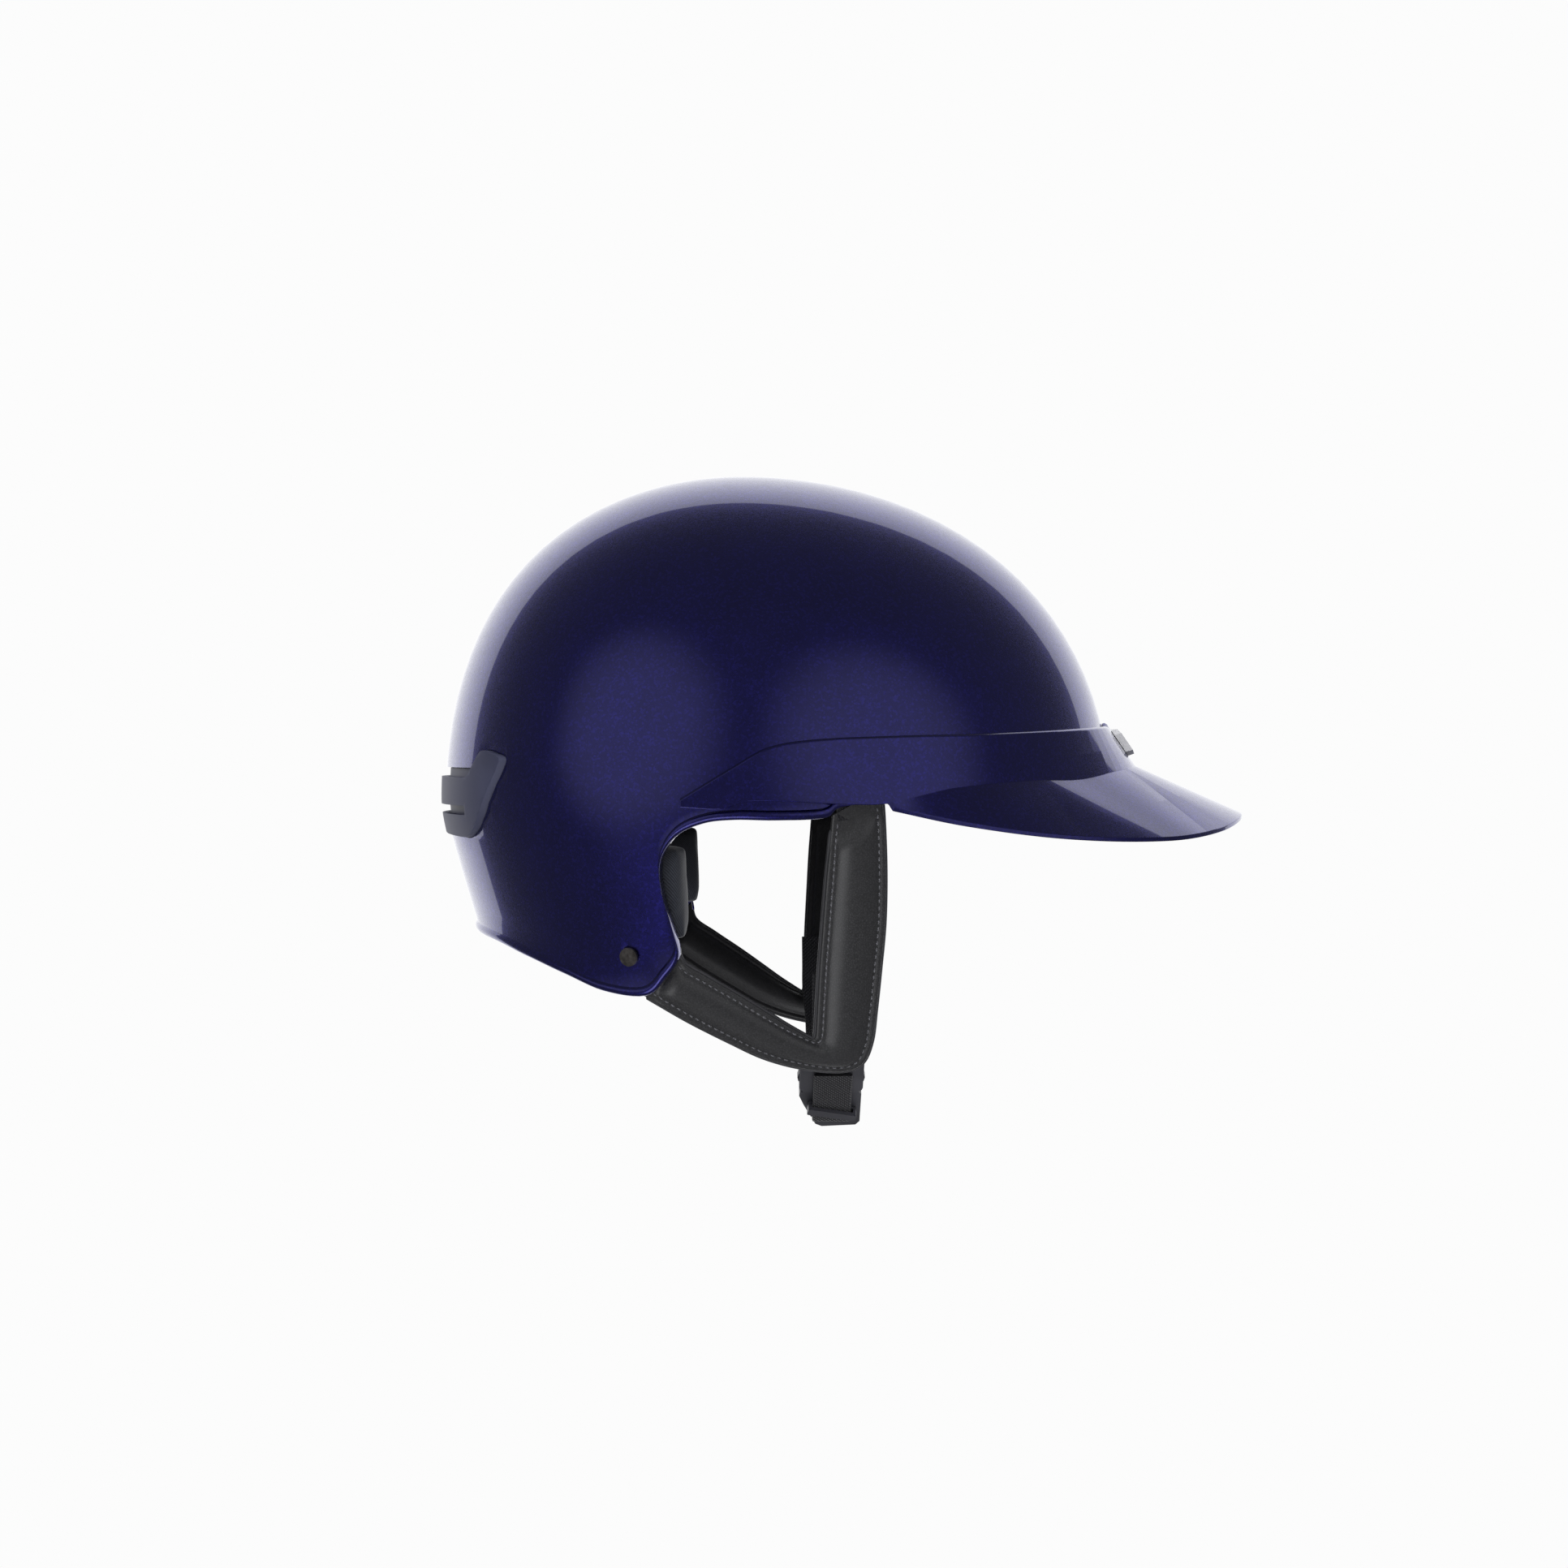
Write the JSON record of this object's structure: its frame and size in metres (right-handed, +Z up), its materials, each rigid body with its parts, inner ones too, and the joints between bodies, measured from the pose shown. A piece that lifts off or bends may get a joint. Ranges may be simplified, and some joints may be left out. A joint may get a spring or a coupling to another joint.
{
  "type": "riding helmet",
  "caption": "Glossy open-face riding helmet with a wrap-round push-on peak, louvred rear vent, ear cut-outs and a padded V chin harness with a side-release buckle.",
  "frame": {"origin": "middle of the head opening at brow height, where the wearer's head holds the helmet", "axes": "+X to the front, +Y to the wearer's left, +Z up"},
  "size_m": [0.3281, 0.2332, 0.262],
  "materials": {
    "shell_paint": "clear-coated metallic",
    "peak_paint": "clear-coated metallic",
    "vent_plastic": "matt",
    "liner_foam": "expanded foam",
    "pad_cloth": "brushed knit",
    "strap_leather": "grained PU leather",
    "webbing": "woven",
    "buckle_plastic": "satin",
    "blackened_steel": "satin"
  },
  "bodies": {
    "helmet": {"outer_shell": "shell_paint", "impact_liner": "liner_foam", "crown_pad": "pad_cloth", "brow_pad": "pad_cloth", "nape_pad": "pad_cloth", "ear_pad_right": "pad_cloth", "ear_pad_left": "pad_cloth", "rear_vent": "vent_plastic", "strap_anchor_front_right": "webbing", "strap_anchor_front_left": "webbing", "strap_anchor_rear_right": "webbing", "strap_anchor_rear_left": "webbing", "rear_rivet_right": "blackened_steel", "rear_rivet_left": "blackened_steel", "front_rivet_right": "blackened_steel", "front_rivet_left": "blackened_steel", "rear_washer_right": "blackened_steel", "rear_washer_left": "blackened_steel", "front_washer_right": "blackened_steel", "front_washer_left": "blackened_steel"},
    "peak": {"peak": "peak_paint", "front_badge": "peak_paint"},
    "strap_right": {"strap_pad_right": "strap_leather", "webbing_right": "webbing", "buckle_socket": "buckle_plastic"},
    "strap_left": {"strap_pad_left": "strap_leather", "webbing_left": "webbing", "buckle_plug": "buckle_plastic"},
    "prong_front": {"buckle_prong_front": "buckle_plastic"},
    "prong_rear": {"buckle_prong_rear": "buckle_plastic"},
    "keeper": {"strap_keeper": "buckle_plastic"}
  },
  "joints": [
    {"name": "peak_pull_off", "type": "slide", "parent": "helmet", "child": "peak", "axis": [1, 0, 0], "range_m": [0, 0.19]},
    {"name": "strap_left_swing", "type": "hinge", "parent": "helmet", "child": "strap_left", "pos_m": [0.025, 0.103, -0.012], "axis": [0.7841, 0.0508, 0.6185], "range_deg": [0, 65]},
    {"name": "strap_right_swing", "type": "hinge", "parent": "helmet", "child": "strap_right", "pos_m": [0.025, -0.103, -0.012], "axis": [-0.7841, 0.0508, -0.6185], "range_deg": [0, 22.75]},
    {"name": "prong_front_squeeze", "type": "slide", "parent": "strap_left", "child": "prong_front", "axis": [-1, 0, 0], "range_m": [0, 0.0016], "stiffness_N_per_m": 800},
    {"name": "prong_rear_squeeze", "type": "slide", "parent": "strap_left", "child": "prong_rear", "axis": [1, 0, 0], "range_m": [0, 0.0016], "stiffness_N_per_m": 800},
    {"name": "keeper_slide", "type": "slide", "parent": "strap_left", "child": "keeper", "axis": [0, 0.7193, -0.6947], "range_m": [-0.004, 0.002]}
  ],
  "couplings": [
    {"joint": "strap_right_swing", "follows": "strap_left_swing", "ratio": 0.35},
    {"joint": "prong_rear_squeeze", "follows": "prong_front_squeeze", "ratio": 1}
  ]
}
